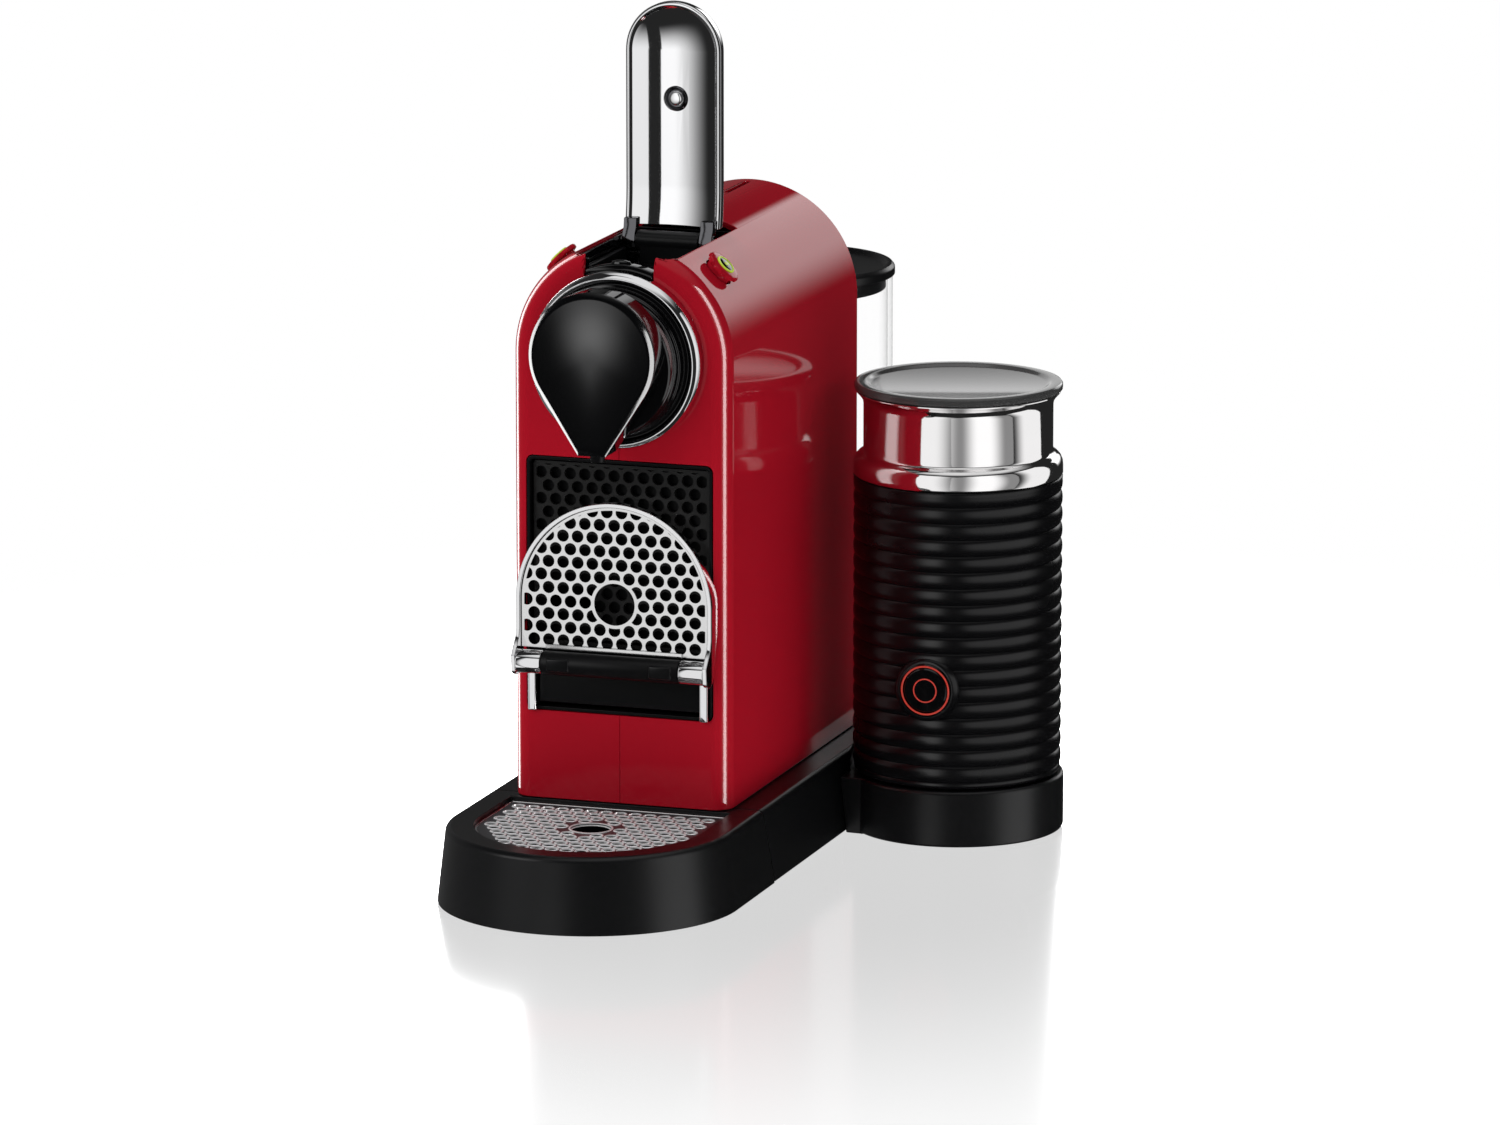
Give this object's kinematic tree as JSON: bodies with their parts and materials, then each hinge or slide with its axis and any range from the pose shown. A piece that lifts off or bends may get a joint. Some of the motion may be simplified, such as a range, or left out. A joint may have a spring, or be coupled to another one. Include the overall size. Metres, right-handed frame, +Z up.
{
  "type": "pod coffee machine",
  "caption": "Pod coffee machine with a tall arched body, capsule lever, round outlet, folding cup tray, drip tray, rear water tank and a ribbed milk frother at its side.",
  "frame": {"origin": "middle of the footprint at worktop height", "axes": "+X to the machine's left-hand neighbour side as seen from the front, that is to the viewer's right and to the frother; +Y from the outlet to the water tank at the back; +Z up"},
  "size_m": [0.2132, 0.3717, 0.3615],
  "materials": {
    "red_gloss": "polished",
    "black_satin": "satin",
    "black_gloss": "polished",
    "chrome": "mirror",
    "steel": "satin",
    "grey_plastic": "matt",
    "aluminium": "cast",
    "rubber": "matt",
    "clear_plastic": "clear",
    "smoked_plastic": "clear, smoky",
    "board_green": "lacquered board"
  },
  "bodies": {
    "machine": {"casing_left": "red_gloss", "casing_right": "red_gloss", "back_cover": "black_satin", "back_screw_1": "steel", "back_screw_2": "steel", "capsule_slot_liner": "black_satin", "outlet_ring": "chrome", "outlet_bezel": "black_gloss", "outlet_head": "black_gloss", "coffee_spout": "black_satin", "outlet_cover": "black_gloss", "chassis": "black_satin", "brew_housing": "grey_plastic", "extraction_plate": "steel", "thermoblock": "aluminium", "pump_body": "black_satin", "pump_mount": "rubber", "flow_meter": "grey_plastic", "control_board": "board_green", "water_hose": "rubber", "drawer_bay_liner": "black_satin", "base_frame": "black_satin", "base_floor": "black_satin", "cord_gland": "rubber", "foot_front_left": "rubber", "foot_front_right": "rubber", "foot_rear_left": "rubber", "foot_rear_right": "rubber", "foot_frother": "rubber", "tank_seat": "black_satin", "frother_stand": "black_satin", "frother_connector": "black_satin", "lever_axle": "steel"},
    "lever": {"lever": "chrome", "lever_rivet": "chrome"},
    "capsule_cage": {"capsule_cage": "grey_plastic"},
    "coffee_button_left": {"coffee_button_left": "red_gloss"},
    "coffee_button_right": {"coffee_button_right": "red_gloss"},
    "capsule_drawer": {"capsule_container": "black_satin", "drawer_grille": "black_satin", "cup_support": "black_satin", "trim_leg_left": "chrome", "trim_leg_right": "chrome", "tray_hinge_pin": "steel"},
    "cup_tray": {"tray_frame": "chrome", "tray_grid": "steel"},
    "drip_tray": {"drip_tray": "black_satin"},
    "drip_grid": {"drip_grid": "steel"},
    "water_tank": {"water_tank": "clear_plastic", "tank_valve": "black_satin"},
    "tank_lid": {"tank_lid": "black_satin"},
    "jug": {"jug_housing": "black_satin", "jug_vessel": "steel", "jug_button_ring": "black_gloss", "jug_motor": "steel"},
    "drive_magnet": {"drive_magnet": "steel"},
    "whisk": {"whisk": "steel"},
    "jug_button": {"jug_button": "black_gloss"},
    "jug_lid": {"jug_lid": "smoked_plastic", "lid_seal": "rubber"}
  },
  "joints": [
    {"name": "lever_hinge", "type": "hinge", "parent": "machine", "child": "lever", "pos_m": [-0.04275, -0.0211, 0.261], "axis": [1, 0, 0], "range_deg": [0, 90]},
    {"name": "cage_slide", "type": "slide", "parent": "machine", "child": "capsule_cage", "axis": [0, -1, 0], "range_m": [0, 0.0262]},
    {"name": "coffee_button_left_press", "type": "slide", "parent": "machine", "child": "coffee_button_left", "axis": [0.7071, 0, -0.7071], "range_m": [0, 0.0015], "stiffness_N_per_m": 400},
    {"name": "coffee_button_right_press", "type": "slide", "parent": "machine", "child": "coffee_button_right", "axis": [-0.7071, 0, -0.7071], "range_m": [0, 0.0015], "stiffness_N_per_m": 400},
    {"name": "drawer_slide", "type": "slide", "parent": "machine", "child": "capsule_drawer", "axis": [0, -1, 0], "range_m": [0, 0.09]},
    {"name": "cup_tray_hinge", "type": "hinge", "parent": "capsule_drawer", "child": "cup_tray", "pos_m": [-0.04275, -0.0951, 0.0937], "axis": [1, 0, 0], "range_deg": [0, 90]},
    {"name": "drip_tray_slide", "type": "slide", "parent": "machine", "child": "drip_tray", "axis": [0, -1, 0], "range_m": [0, 0.11]},
    {"name": "drip_grid_lift", "type": "slide", "parent": "drip_tray", "child": "drip_grid", "axis": [0, 0, 1], "range_m": [0, 0.03]},
    {"name": "tank_lift", "type": "slide", "parent": "machine", "child": "water_tank", "axis": [0, 0, 1], "range_m": [0, 0.06]},
    {"name": "tank_lid_lift", "type": "slide", "parent": "water_tank", "child": "tank_lid", "axis": [0, 0, 1], "range_m": [0, 0.03]},
    {"name": "jug_lift", "type": "slide", "parent": "machine", "child": "jug", "axis": [0, 0, 1], "range_m": [0, 0.06]},
    {"name": "jug_lid_lift", "type": "slide", "parent": "jug", "child": "jug_lid", "axis": [0, 0, 1], "range_m": [0, 0.04]},
    {"name": "magnet_spin", "type": "hinge", "parent": "jug", "child": "drive_magnet", "pos_m": [0.06085, 0.0551, 0.0562], "axis": [0, 0, 1], "continuous": true},
    {"name": "whisk_spin", "type": "hinge", "parent": "jug", "child": "whisk", "pos_m": [0.06085, 0.0551, 0.062], "axis": [0, 0, 1], "continuous": true},
    {"name": "jug_button_press", "type": "slide", "parent": "jug", "child": "jug_button", "axis": [0, 1, 0], "range_m": [0, 0.001], "stiffness_N_per_m": 400}
  ],
  "couplings": [
    {"joint": "cage_slide", "follows": "lever_hinge", "m_per_rad": 0.01665},
    {"joint": "whisk_spin", "follows": "magnet_spin", "ratio": 1}
  ]
}
